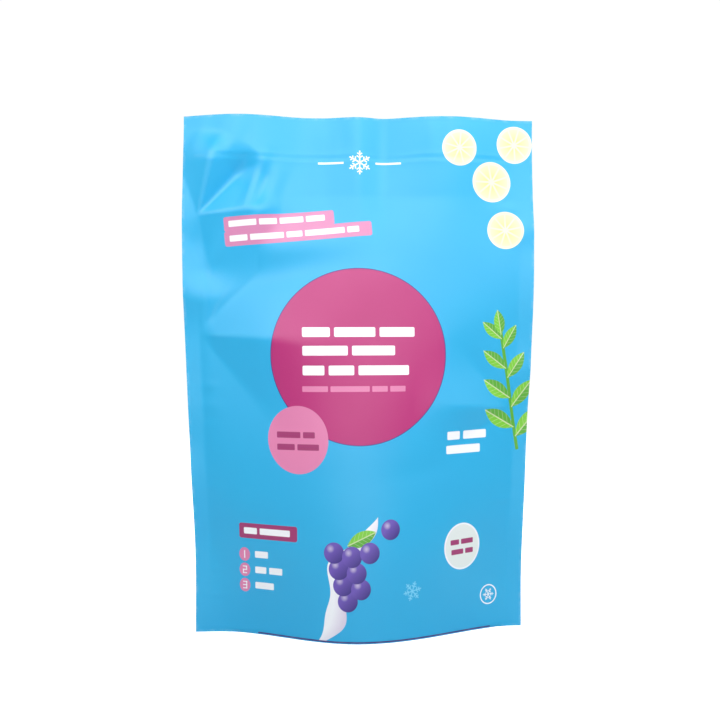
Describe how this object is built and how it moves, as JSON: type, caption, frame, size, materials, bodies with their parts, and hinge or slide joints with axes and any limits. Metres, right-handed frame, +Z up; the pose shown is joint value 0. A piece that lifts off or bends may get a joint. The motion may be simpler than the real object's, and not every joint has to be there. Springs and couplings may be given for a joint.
{
  "type": "frozen food bag",
  "caption": "Full stand-up pouch of printed blue film for frozen food, welded down the sides and across the top, with a press-to-close strip and a folded bottom gusset.",
  "frame": {"origin": "middle of the pouch's foot, on the surface it stands on", "axes": "+Z up, -Y out of the printed front panel, +X to the right of someone facing the front"},
  "size_m": [0.1798, 0.059, 0.2621],
  "materials": {
    "film": "soft matte laminate, sky blue, printed"
  },
  "bodies": {
    "root": {"pouch": "film"}
  },
  "joints": []
}
